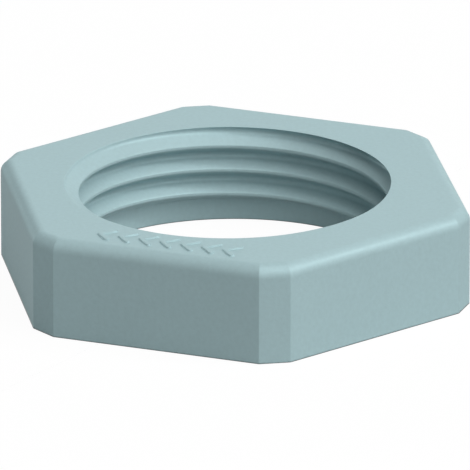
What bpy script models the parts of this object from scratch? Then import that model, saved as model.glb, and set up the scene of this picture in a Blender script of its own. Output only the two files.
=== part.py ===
"""Cable gland locknut for a 20 mm metric gland thread.

One piece of moulded plastic: a thin hexagon whose six corners are cut back to narrow facets,
with its upper outer edge rounded, a right-hand thread through the middle that runs out at the
top face, and a plain counterbore under the thread.

Metres, +Z up along the thread. The origin is the centre of the seating face, and the flats
face 0, 60, 120 degrees and so on from +X.
"""

import math

import bmesh
import bpy

SIDES = 6
THICKNESS = 0.0060
WALL_AT_FLATS = 0.00295
CORNER_FACET_WIDTH = 0.00187
TOP_EDGE_RADIUS = 0.00076

THREAD_ROOT_DIAMETER = 0.0201
THREAD_PITCH = 0.0015
THREAD_DEPTH = 0.573 * THREAD_PITCH
CREST_FLAT = 0.13 * THREAD_PITCH
FLANK_ANGLE = math.radians(30)
# Where the middle of the crest meets the top face, counted from +X.
RUNOUT_ANGLE = math.radians(-38.9)

COUNTERBORE_CLEARANCE = 0.00027
COUNTERBORE_DEPTH = 0.00145

ACROSS_FLATS = THREAD_ROOT_DIAMETER + 2 * WALL_AT_FLATS

PLASTIC_COLOUR = (0.38, 0.50, 0.53, 1.0)
PLASTIC_ROUGHNESS = 0.5

STEPS_PER_TURN = 72
EDGE_SEGMENTS = 4
ROOT_SEGMENTS = 4
SHARP_ANGLE = math.radians(32)
OVERCUT = 0.001
SAME_POINT = 1e-6


def clear_scene():
    for obj in list(bpy.data.objects):
        bpy.data.objects.remove(obj, do_unlink=True)


def new_collection(name):
    collection = bpy.data.collections.new(name)
    bpy.context.scene.collection.children.link(collection)
    return collection


def new_object(name, bm, collection):
    mesh = bpy.data.meshes.new(name)
    bm.to_mesh(mesh)
    bm.free()
    obj = bpy.data.objects.new(name, mesh)
    collection.objects.link(obj)
    return obj


def evaluated_mesh(obj):
    """A mesh of the object with its modifiers applied."""
    graph = bpy.context.evaluated_depsgraph_get()
    return bpy.data.meshes.new_from_object(obj.evaluated_get(graph))


def hexagonal_blank(collection):
    """The solid hexagon: upright corners cut to facets, then the top outline rounded."""
    corner_radius = ACROSS_FLATS / 2 / math.cos(math.pi / SIDES)
    bm = bmesh.new()
    bmesh.ops.create_cone(
        bm,
        cap_ends=True,
        segments=SIDES,
        radius1=corner_radius,
        radius2=corner_radius,
        depth=THICKNESS,
    )
    bmesh.ops.translate(bm, verts=bm.verts, vec=(0, 0, THICKNESS / 2))

    uprights = [e for e in bm.edges if abs(e.verts[0].co.z - e.verts[1].co.z) > SAME_POINT]
    bmesh.ops.bevel(
        bm,
        geom=uprights,
        offset=CORNER_FACET_WIDTH,
        offset_type="WIDTH",
        segments=1,
        affect="EDGES",
    )

    top_outline = [e for e in bm.edges if all(v.co.z > THICKNESS - SAME_POINT for v in e.verts)]
    bmesh.ops.bevel(
        bm,
        geom=top_outline,
        offset=TOP_EDGE_RADIUS,
        offset_type="OFFSET",
        segments=EDGE_SEGMENTS,
        profile=0.5,
        affect="EDGES",
    )
    return new_object("locknut", bm, collection)


def thread_profile():
    """One pitch of the thread as (radius, height) from one crest flat to the next.

    The crest flat is followed by the groove, whose two flanks run into a round root.
    The middle of the crest is half a pitch below height 0, where the groove is centred.
    """
    root_radius = THREAD_ROOT_DIAMETER / 2
    crest_radius = root_radius - THREAD_DEPTH
    groove_half = (THREAD_PITCH - CREST_FLAT) / 2
    # Where a flat root would end, and the arc that touches both flanks and that flat.
    flat_half = groove_half - THREAD_DEPTH * math.tan(FLANK_ANGLE)
    arc = flat_half / math.tan(math.pi / 4 - FLANK_ANGLE / 2)
    centre = root_radius - arc
    half_arc = math.pi / 2 - FLANK_ANGLE

    points = [(crest_radius, groove_half - THREAD_PITCH), (crest_radius, -groove_half)]
    for step in range(ROOT_SEGMENTS + 1):
        angle = half_arc * (2 * step / ROOT_SEGMENTS - 1)
        points.append((centre + arc * math.cos(angle), arc * math.sin(angle)))
    points.append((crest_radius, groove_half))
    return points


def thread_plug(collection):
    """The threaded plug that the moulding leaves behind, longer than the nut at both ends."""
    turns_below = math.ceil(THICKNESS / THREAD_PITCH) + 2
    turns_above = 2
    start = THICKNESS + THREAD_PITCH / 2 - turns_below * THREAD_PITCH

    bm = bmesh.new()
    outline = [bm.verts.new((radius, 0, start + height)) for radius, height in thread_profile()]
    for low, high in zip(outline, outline[1:]):
        bm.edges.new((low, high))
    sweep = new_object("thread_sweep", bm, collection)
    screw = sweep.modifiers.new("thread", "SCREW")
    screw.angle = 2 * math.pi
    screw.screw_offset = THREAD_PITCH
    screw.iterations = turns_below + turns_above
    screw.steps = STEPS_PER_TURN
    screw.render_steps = STEPS_PER_TURN

    bm = bmesh.new()
    bm.from_mesh(evaluated_mesh(sweep))
    bpy.data.objects.remove(sweep, do_unlink=True)
    bmesh.ops.remove_doubles(bm, verts=bm.verts, dist=SAME_POINT)
    ends = bmesh.ops.holes_fill(bm, edges=[e for e in bm.edges if e.is_boundary], sides=0)
    bmesh.ops.poke(bm, faces=ends["faces"])
    bmesh.ops.recalc_face_normals(bm, faces=bm.faces)
    plug = new_object("thread_plug", bm, collection)
    plug.rotation_euler.z = RUNOUT_ANGLE
    return plug


def counterbore_plug(collection):
    """The plain round recess between the seating face and the first turn of thread."""
    radius = THREAD_ROOT_DIAMETER / 2 + COUNTERBORE_CLEARANCE
    bm = bmesh.new()
    bmesh.ops.create_cone(
        bm,
        cap_ends=True,
        segments=STEPS_PER_TURN,
        radius1=radius,
        radius2=radius,
        depth=COUNTERBORE_DEPTH + OVERCUT,
    )
    bmesh.ops.translate(bm, verts=bm.verts, vec=(0, 0, (COUNTERBORE_DEPTH - OVERCUT) / 2))
    return new_object("counterbore_plug", bm, collection)


def cut(obj, cutter):
    cutter.hide_render = True
    cutter.display_type = "WIRE"
    boolean = obj.modifiers.new(cutter.name, "BOOLEAN")
    boolean.operation = "DIFFERENCE"
    boolean.solver = "EXACT"
    boolean.object = cutter


def moulded_plastic():
    material = bpy.data.materials.new("moulded_plastic")
    material.use_nodes = True
    shader = material.node_tree.nodes["Principled BSDF"]
    shader.inputs["Base Color"].default_value = PLASTIC_COLOUR
    shader.inputs["Roughness"].default_value = PLASTIC_ROUGHNESS
    shader.inputs["Metallic"].default_value = 0.0
    return material


def locknut(parts, cutters):
    nut = hexagonal_blank(parts)
    cut(nut, thread_plug(cutters))
    cut(nut, counterbore_plug(cutters))
    nut.data = evaluated_mesh(nut)
    nut.modifiers.clear()
    nut.data.shade_smooth()
    nut.data.set_sharp_from_angle(angle=SHARP_ANGLE)
    nut.data.materials.clear()
    nut.data.materials.append(moulded_plastic())
    return nut


clear_scene()
locknut(new_collection("cable_gland_locknut"), new_collection("cutters"))
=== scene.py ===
"""Looks of the cable gland locknut: one blue-grey plastic moulding on a pale floor."""

import math

import bmesh
import bpy
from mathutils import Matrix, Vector


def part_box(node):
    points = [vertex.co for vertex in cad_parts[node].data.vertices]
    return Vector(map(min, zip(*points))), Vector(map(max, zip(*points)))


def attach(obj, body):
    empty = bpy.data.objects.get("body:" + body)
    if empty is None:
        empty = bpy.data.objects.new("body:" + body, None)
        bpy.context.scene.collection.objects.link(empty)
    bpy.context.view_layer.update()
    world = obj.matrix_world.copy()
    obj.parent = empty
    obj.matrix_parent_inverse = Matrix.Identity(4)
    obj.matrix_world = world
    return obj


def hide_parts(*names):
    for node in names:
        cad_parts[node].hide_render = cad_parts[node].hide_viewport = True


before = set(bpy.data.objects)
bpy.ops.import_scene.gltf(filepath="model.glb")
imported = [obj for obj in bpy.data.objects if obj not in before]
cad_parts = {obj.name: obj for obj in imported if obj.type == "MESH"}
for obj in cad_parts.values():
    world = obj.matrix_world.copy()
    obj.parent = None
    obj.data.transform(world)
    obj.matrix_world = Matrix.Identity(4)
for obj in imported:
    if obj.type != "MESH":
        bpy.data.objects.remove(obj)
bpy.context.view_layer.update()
scene = bpy.context.scene
scene.view_settings.view_transform = "Standard"


# The camera: a long lens close to the floor, a little to the left of one corner of the nut. Its
# place was fitted to the edges of the nut in the photograph.
CAMERA_AZIMUTH = math.radians(-9.416)
CAMERA_ELEVATION = math.radians(20.257)
CAMERA_DISTANCE = 0.76526
LENS_MM = 989.09
SENSOR_MM = 36.0
AIM_HEIGHT = 0.002738
AIM_TO_THE_RIGHT = 0.000052


def direction(azimuth, elevation):
    """Direction from the nut, by angles in radians. Azimuth 0 is -Y and a quarter turn is +X."""
    level = math.cos(elevation)
    return Vector((math.sin(azimuth) * level, -math.cos(azimuth) * level, math.sin(elevation)))


camera = bpy.data.objects.new("camera", bpy.data.cameras.new("camera"))
camera.data.lens = LENS_MM
camera.data.sensor_width = SENSOR_MM
camera.location = CAMERA_DISTANCE * direction(CAMERA_AZIMUTH, CAMERA_ELEVATION)
to_the_right = direction(CAMERA_AZIMUTH + math.pi / 2, 0)
aim = Vector((0, 0, AIM_HEIGHT)) + AIM_TO_THE_RIGHT * to_the_right
camera.rotation_euler = (aim - camera.location).to_track_quat("-Z", "Y").to_euler()
scene.collection.objects.link(camera)
scene.camera = camera


# The floor and the surroundings: matt white paper under and round the nut. Cameras and reflections
# see it as white, and it still takes the nut's soft shadow. The thin dark line where they touch is
# painted shade, darkened into that white by ambient occlusion.
# To all other rays the surroundings are black, so only the lamps and the floor light the nut.
FLOOR_HALF_WIDTH = 2.0
FLOOR_COLOUR = (0.48, 0.48, 0.48, 1)
FLOOR_SHOWN_WHITE = 0.9
FLOOR_WHITE_STRENGTH = 1.06
# How far the painted contact shade reaches, its samples, and how dark it is painted.
CONTACT_REACH = 0.00005
CONTACT_SAMPLES = 16
CONTACT_DARKNESS = 2
WHITE = (1, 1, 1, 1)
BLACK = (0, 0, 0, 1)


class Socket:
    """The output of a shader node, on which Python's operators add Math nodes."""

    def __init__(self, nodes, output):
        self.nodes = nodes
        self.output = output

    def maths(self, operation, first, second):
        return self.nodes.add("ShaderNodeMath", {"operation": operation}, {0: first, 1: second})

    def or_more(self, other):
        return self.maths("MAXIMUM", self, other)

    def __add__(self, other):
        return self.maths("ADD", self, other)

    def __radd__(self, other):
        return self.maths("ADD", other, self)

    def __sub__(self, other):
        return self.maths("SUBTRACT", self, other)

    def __rsub__(self, other):
        return self.maths("SUBTRACT", other, self)

    def __mul__(self, other):
        return self.maths("MULTIPLY", self, other)

    def __rmul__(self, other):
        return self.maths("MULTIPLY", other, self)

    def __pow__(self, other):
        return self.maths("POWER", self, other)

    def __rpow__(self, other):
        return self.maths("POWER", other, self)


class Nodes:
    """The node tree of a material or of the world."""

    def __init__(self, owner):
        owner.use_nodes = True
        self.tree = owner.node_tree
        self.tree.nodes.clear()

    def add(self, kind, settings=None, inputs=None, output=0):
        """One node of this kind, with its settings made first; its output, by name or number."""
        node = self.tree.nodes.new(kind)
        for name, value in (settings or {}).items():
            setattr(node, name, value)
        for name, value in (inputs or {}).items():
            if isinstance(value, Socket):
                self.tree.links.new(value.output, node.inputs[name])
            else:
                node.inputs[name].default_value = value
        return Socket(self, node.outputs[output]) if node.outputs else None


def seen_directly(nodes):
    """1 for the rays of the camera and of mirror-like or clear surfaces, and 0 for the rest."""
    camera_ray = nodes.add("ShaderNodeLightPath", output="Is Camera Ray")
    glossy_ray = nodes.add("ShaderNodeLightPath", output="Is Glossy Ray")
    clear_ray = nodes.add("ShaderNodeLightPath", output="Is Transmission Ray")
    return (camera_ray + glossy_ray).or_more(clear_ray)


surroundings = bpy.data.worlds.new("surroundings")
nodes = Nodes(surroundings)
black = nodes.add("ShaderNodeBackground", inputs={"Color": BLACK})
white = nodes.add("ShaderNodeBackground", inputs={"Color": WHITE})
shown = nodes.add("ShaderNodeMixShader", inputs={0: seen_directly(nodes), 1: black, 2: white})
nodes.add("ShaderNodeOutputWorld", inputs={"Surface": shown})
scene.world = surroundings

paper = bpy.data.materials.new("matt_white_paper")
nodes = Nodes(paper)
lit = nodes.add("ShaderNodeBsdfDiffuse", inputs={"Color": FLOOR_COLOUR})
# Painted contact shade: ambient occlusion darkens the white that cameras and reflections see, in a
# thin line where the floor meets the nut.
samples = {"samples": CONTACT_SAMPLES}
reach = {"Color": WHITE, "Distance": CONTACT_REACH}
openness = nodes.add("ShaderNodeAmbientOcclusion", samples, reach, output="AO")
white_with_painted_contact_shade = openness ** CONTACT_DARKNESS * FLOOR_WHITE_STRENGTH
white = nodes.add("ShaderNodeEmission", inputs={"Color": white_with_painted_contact_shade})
share = seen_directly(nodes) * FLOOR_SHOWN_WHITE
shown = nodes.add("ShaderNodeMixShader", inputs={0: share, 1: lit, 2: white})
nodes.add("ShaderNodeOutputMaterial", inputs={"Surface": shown})

bm = bmesh.new()
bmesh.ops.create_grid(bm, x_segments=1, y_segments=1, size=FLOOR_HALF_WIDTH)
floor = bpy.data.objects.new("floor", bpy.data.meshes.new("floor"))
bm.to_mesh(floor.data)
bm.free()
floor.data.materials.append(paper)
scene.collection.objects.link(floor)


# The lamps: wide soft boxes at the front, at the front right, high up and behind. A small one low
# at the back left lights the left flat, and a small one at the right draws the bright line along
# the nut's rounded edge.
LAMP_DISTANCE = 1.6
WIDE_BOX = 1.2
SMALL_BOX = 0.2


def soft_box(name, azimuth, elevation, width, watts):
    """A square area lamp that faces the nut. Azimuth and elevation are in degrees."""
    lamp = bpy.data.objects.new(name, bpy.data.lights.new(name, "AREA"))
    lamp.data.shape = "SQUARE"
    lamp.data.size = width
    lamp.data.energy = watts
    towards = direction(math.radians(azimuth), math.radians(elevation))
    lamp.location = LAMP_DISTANCE * towards
    lamp.rotation_euler = (-towards).to_track_quat("-Z", "Y").to_euler()
    lamp.visible_camera = False
    scene.collection.objects.link(lamp)


soft_box("edge_line_box", 77.7, 36.3, SMALL_BOX, 4.6)
soft_box("front_right_box", 50, 38, WIDE_BOX, 12.3)
soft_box("high_box", 42, 75, WIDE_BOX, 8.5)
soft_box("front_box", -5, 42, WIDE_BOX, 7.7)
soft_box("left_box", -137, 6, SMALL_BOX, 6.6)
soft_box("back_box", 165, 25, WIDE_BOX, 4.7)


# The locknut: one injection moulding in blue-grey nylon-type plastic, thread and counterbore
# included. Its mesh is made in rows: the thread, then the outer wall, the seating face and the
# counterbore. A row of raised chevrons on the top face shows the way to tighten it.
TOP_EDGE_RADIUS = 0.00076
UPRIGHT_EDGE_RADIUS = 0.00009
SEAT_EDGE_RADIUS = 0.00007
THREAD_END_RADIUS = 0.00005
# Each flat face has a row this close to its edges, so that smooth shading leaves it flat.
SUPPORT = 0.00003

THREAD_ROOT_DIAMETER = 0.0201
THREAD_PITCH = 0.0015
THREAD_DEPTH = 0.573 * THREAD_PITCH
CREST_FLAT = 0.13 * THREAD_PITCH
CREST_EDGE_RADIUS = 0.0001
FLANK_ANGLE = math.radians(30)
# Where the middle of the crest meets the top face, counted from +X.
RUNOUT_ANGLE = math.radians(-38.9)

COUNTERBORE_CLEARANCE = 0.00027
COUNTERBORE_DEPTH = 0.00145

CHEVRONS = 7
CHEVRON_PITCH = 0.0013
CHEVRON_HALF_LENGTH = 0.00034
CHEVRON_HALF_WIDTH = 0.00072
CHEVRON_STROKE = 0.0003
CHEVRON_RELIEF = 0.0001
CHEVRON_EDGE_RADIUS = 0.00005
CHEVRON_ROW_FACING = math.radians(240)
CHEVRON_ROW_DISTANCE = 0.011

SIDES = 12
FLAT_COLUMNS = 46
FACET_COLUMNS = 8
CORNER_COLUMNS = 6
TOP_EDGE_ROWS = 12
SMALL_EDGE_ROWS = 4
ROOT_ROWS = 5
CREST_ROWS = 4
CHEVRON_END_STEPS = 8
SAME_POINT = 1e-7

# From the axis to a flat and to a corner facet, and the height, all as in the solid.
to_flat, to_facet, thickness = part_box("locknut")[1]
half_pi = math.pi / 2
side_turn = 2 * math.pi / SIDES


def unit(angle):
    """The level direction at this angle from +X."""
    return Vector((math.cos(angle), math.sin(angle)))


def arc(centre, radius, start, end, steps):
    """Points round a centre, from one angle to another."""
    turn = (end - start) / steps
    return [centre + radius * unit(start + turn * step) for step in range(steps + 1)]


def corner_centre(side, inset):
    """Centre of the rounding between this side and the next one, with the outline inset."""
    flat = to_flat - inset - UPRIGHT_EDGE_RADIUS
    facet = to_facet - inset - UPRIGHT_EDGE_RADIUS
    here, after = (facet, flat) if side % 2 else (flat, facet)
    along = (after - here * math.cos(side_turn)) / math.sin(side_turn)
    return here * unit(side * side_turn) + along * unit(side * side_turn + half_pi)


def outline(inset):
    """The nut's rounded outline, inset on all sides, once round from the middle of one flat."""
    points = []
    for side in range(SIDES):
        facing = side * side_turn
        corner = corner_centre(side, inset)
        rounded = arc(corner, UPRIGHT_EDGE_RADIUS, facing, facing + side_turn, CORNER_COLUMNS)
        start = corner_centre(side - 1, inset) + UPRIGHT_EDGE_RADIUS * unit(facing)
        columns = FACET_COLUMNS if side % 2 else FLAT_COLUMNS
        margin = SUPPORT / (rounded[0] - start).length
        for column in range(columns + 1):
            share = margin + (1 - 2 * margin) * column / columns
            points.append(start.lerp(rounded[0], share))
        points += rounded
    middle = FLAT_COLUMNS // 2
    return points[middle:] + points[:middle + 1]


angles = [math.atan2(point.y, point.x) % (2 * math.pi) for point in outline(0)]
angles[0] = 0
angles[-1] = 2 * math.pi

root_radius = THREAD_ROOT_DIAMETER / 2
crest_radius = root_radius - THREAD_DEPTH
counterbore_radius = root_radius + COUNTERBORE_CLEARANCE
bore_bottom = COUNTERBORE_DEPTH + THREAD_END_RADIUS
bore_top = thickness - THREAD_END_RADIUS

half_arc = half_pi - FLANK_ANGLE
flank_slope = math.tan(FLANK_ANGLE)
groove_half = (THREAD_PITCH - CREST_FLAT) / 2
root_arc = (groove_half - THREAD_DEPTH * flank_slope) / math.tan(half_arc / 2)
root_end = root_arc * math.sin(half_arc)
crest_start = groove_half + CREST_EDGE_RADIUS * math.tan(half_arc / 2)
flank_end = crest_start - CREST_EDGE_RADIUS * math.sin(half_arc)


def thread_radius(height):
    """How far the thread's surface is from the axis, by the height from a groove's middle."""
    height = abs(height - THREAD_PITCH * round(height / THREAD_PITCH))
    if height < root_end:
        return root_radius - root_arc + math.sqrt(root_arc ** 2 - height ** 2)
    if height < flank_end:
        return crest_radius + (groove_half - height) / flank_slope
    short = max(crest_start - height, 0)
    return crest_radius + CREST_EDGE_RADIUS - math.sqrt(CREST_EDGE_RADIUS ** 2 - short ** 2)


def thread_heights():
    """Heights of the mesh rows from one groove's middle to the next, close where it curves."""
    half = [root_arc * math.sin(half_arc * row / ROOT_ROWS) for row in range(ROOT_ROWS + 1)]
    for row in range(CREST_ROWS, -1, -1):
        half.append(crest_start - CREST_EDGE_RADIUS * math.sin(half_arc * row / CREST_ROWS))
    return half + [THREAD_PITCH - height for height in reversed(half[1:])]


def groove_middle(angle):
    """Height of the highest groove's middle, which climbs by a pitch in a turn."""
    return thickness + THREAD_PITCH * ((angle - RUNOUT_ANGLE) / (2 * math.pi) + 0.5)


def at(angle, radius, height):
    """The point at this angle from +X, distance from the axis and height."""
    return Vector((radius * math.cos(angle), radius * math.sin(angle), height))


def circle(radius, height):
    """A level round row of the mesh."""
    return [at(angle, radius, height) for angle in angles]


def ring(inset, height):
    """A level row of the mesh that follows the nut's outline."""
    return [point.to_3d() + Vector((0, 0, height)) for point in outline(inset)]


def thread_end(level, outward):
    """A level row where the thread meets a flat face, moved outward from its surface."""
    radii = [thread_radius(level - groove_middle(angle)) + outward for angle in angles]
    return [at(angle, radius, level) for angle, radius in zip(angles, radii)]


def thread_row(climb):
    """A row that climbs with the thread, at a height from a groove's middle, within the bore."""
    row = []
    for angle in angles:
        level = min(max(groove_middle(angle) + climb, bore_bottom), bore_top)
        row.append(at(angle, thread_radius(level - groove_middle(angle)), level))
    return row


def quarter_round(radius, steps):
    """Distances from the wall and from the flat face, from that face round to the wall."""
    bends = [half_pi * step / steps for step in range(steps + 1)]
    return [(radius * (1 - math.sin(bend)), radius * (1 - math.cos(bend))) for bend in bends]


top_edge = quarter_round(TOP_EDGE_RADIUS, TOP_EDGE_ROWS)
seat_edge = quarter_round(SEAT_EDGE_RADIUS, SMALL_EDGE_ROWS)
thread_edge = quarter_round(THREAD_END_RADIUS, SMALL_EDGE_ROWS)
beside_seat_edge = SEAT_EDGE_RADIUS + SUPPORT
beside_thread_edge = THREAD_END_RADIUS + SUPPORT
turns = math.ceil(thickness / THREAD_PITCH) + 2

inner_rows = [thread_end(COUNTERBORE_DEPTH, beside_thread_edge)]
inner_rows += [thread_end(COUNTERBORE_DEPTH + up, out) for out, up in thread_edge]
for turn in range(-turns, 0):
    inner_rows += [thread_row(turn * THREAD_PITCH + height) for height in thread_heights()]
inner_rows += [thread_end(thickness - down, out) for out, down in reversed(thread_edge)]
inner_rows.append(thread_end(thickness, beside_thread_edge))

outer_rows = [ring(TOP_EDGE_RADIUS + SUPPORT, thickness)]
outer_rows += [ring(inset, thickness - down) for inset, down in top_edge]
outer_rows.append(ring(0, thickness - TOP_EDGE_RADIUS - SUPPORT))
outer_rows.append(ring(0, beside_seat_edge))
outer_rows += [ring(inset, up) for inset, up in reversed(seat_edge)]
outer_rows.append(ring(beside_seat_edge, 0))
outer_rows.append(circle(counterbore_radius + beside_seat_edge, 0))
outer_rows += [circle(counterbore_radius + out, up) for out, up in seat_edge]
outer_rows.append(circle(counterbore_radius, beside_seat_edge))
outer_rows.append(circle(counterbore_radius, COUNTERBORE_DEPTH - SUPPORT))
outer_rows.append(circle(counterbore_radius, COUNTERBORE_DEPTH))
outer_rows.append(circle(counterbore_radius - SUPPORT, COUNTERBORE_DEPTH))
outer_rows.append(inner_rows[0])


def chevron_outline(reach):
    """All points at this distance from the middle line of a chevron that points along -X."""
    lean = math.atan2(CHEVRON_HALF_WIDTH, 2 * CHEVRON_HALF_LENGTH)
    tip = Vector((-CHEVRON_HALF_LENGTH, 0))
    left_end = Vector((CHEVRON_HALF_LENGTH, CHEVRON_HALF_WIDTH))
    right_end = Vector((CHEVRON_HALF_LENGTH, -CHEVRON_HALF_WIDTH))
    points = [tip + Vector((reach / math.sin(lean), 0))]
    points += arc(left_end, reach, lean - half_pi, lean + half_pi, CHEVRON_END_STEPS)
    points += arc(tip, reach, lean + half_pi, 3 * half_pi - lean, CHEVRON_END_STEPS)
    points += arc(right_end, reach, -half_pi - lean, half_pi - lean, CHEVRON_END_STEPS)
    return points


half_stroke = CHEVRON_STROKE / 2
beside_chevron_edge = CHEVRON_EDGE_RADIUS + SUPPORT
chevron_edge = quarter_round(CHEVRON_EDGE_RADIUS, SMALL_EDGE_ROWS)
chevron_section = [(half_stroke - beside_chevron_edge, CHEVRON_RELIEF)]
chevron_section += [(half_stroke - out, CHEVRON_RELIEF - down) for out, down in chevron_edge]
chevron_section += [(half_stroke + out, up) for out, up in reversed(chevron_edge)]
chevron_section.append((half_stroke + beside_chevron_edge, 0))

bm = bmesh.new()


def skin(rows):
    """Faces between rows of points that run the same way round; gives the first row's vertices."""
    grid = [[bm.verts.new(point) for point in row] for row in rows]
    for here, after in zip(grid, grid[1:]):
        for column in range(len(here) - 1):
            bm.faces.new((here[column], after[column], after[column + 1], here[column + 1]))
    return grid[0]


skin(inner_rows)
skin(outer_rows)
along = unit(CHEVRON_ROW_FACING + half_pi)
inward = -unit(CHEVRON_ROW_FACING)
for chevron in range(CHEVRONS):
    shift = (chevron - (CHEVRONS - 1) / 2) * CHEVRON_PITCH
    middle = shift * along - CHEVRON_ROW_DISTANCE * inward
    rows = []
    for reach, rise in chevron_section:
        points = chevron_outline(reach)
        placed = [middle + point.x * along + point.y * inward for point in points + points[:1]]
        rows.append([Vector((point.x, point.y, thickness + rise)) for point in placed])
    crown = skin(rows)
    bm.faces.new(crown[:-1])
bmesh.ops.remove_doubles(bm, verts=bm.verts, dist=SAME_POINT)
# Only the flat top is still open, between the thread's end, the rounded edge and the chevrons.
open_edges = [edge for edge in bm.edges if edge.is_boundary]
bmesh.ops.triangle_fill(bm, use_beauty=True, edges=open_edges, normal=(0, 0, 1))
# The crowns of the chevrons are the only faces with more than four corners.
bmesh.ops.triangulate(bm, faces=[face for face in bm.faces if len(face.verts) > 4])
nut = bpy.data.objects.new("locknut_moulding", bpy.data.meshes.new("locknut_moulding"))
bm.to_mesh(nut.data)
bm.free()
nut.data.shade_smooth()
scene.collection.objects.link(nut)

# Its plastic: coloured through, with faint clouding and the fine satin grain of a mould, which
# shows in the shade and in the bump. Its weak gloss has the plastic's own colour.
PLASTIC_COLOUR = (0.387, 0.535, 0.558, 1)
PLASTIC_ROUGHNESS = 0.43
PLASTIC_SPECULAR = 0.004
PLASTIC_METALLIC = 0.1
CLOUD_SIZE = 0.004
CLOUD_DETAIL = 3
CLOUD_SHADE = 0.02
CLOUD_ROUGHNESS = 0.05
GRAIN_SIZE = 0.00025
GRAIN_DETAIL = 2
GRAIN_SHADE = 0.06
GRAIN_HEIGHT = 0.000008

plastic = bpy.data.materials.new("moulded_plastic")
nodes = Nodes(plastic)
place = nodes.add("ShaderNodeTexCoord", output="Object")


def noise(size, detail):
    """Cloudy noise from 0 to 1 with features of this size in metres."""
    inputs = {"Vector": place, "Scale": 1 / size, "Detail": detail}
    return nodes.add("ShaderNodeTexNoise", inputs=inputs)


def change(pattern, most):
    """A pattern from 0 to 1 as a change of up to most either way."""
    return (pattern - 0.5) * (2 * most)


clouds = noise(CLOUD_SIZE, CLOUD_DETAIL)
grain = noise(GRAIN_SIZE, GRAIN_DETAIL)
shade = 1 + change(clouds, CLOUD_SHADE) + change(grain, GRAIN_SHADE)
grey = nodes.add("ShaderNodeCombineColor", inputs={0: shade, 1: shade, 2: shade})
# Inputs 6 and 7 and output 2 are the colours of a Mix node.
multiply = {"data_type": "RGBA", "blend_type": "MULTIPLY"}
colour = nodes.add("ShaderNodeMix", multiply, {0: 1.0, 6: PLASTIC_COLOUR, 7: grey}, output=2)
bump = nodes.add("ShaderNodeBump", inputs={"Height": grain, "Distance": GRAIN_HEIGHT})
finish = {
    "Base Color": colour,
    "Roughness": PLASTIC_ROUGHNESS + change(clouds, CLOUD_ROUGHNESS),
    "Specular IOR Level": PLASTIC_SPECULAR,
    "Metallic": PLASTIC_METALLIC,
    "Normal": bump,
}
shader = nodes.add("ShaderNodeBsdfPrincipled", inputs=finish)
nodes.add("ShaderNodeOutputMaterial", inputs={"Surface": shader})
nut.data.materials.append(plastic)

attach(nut, "root")
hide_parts("locknut")
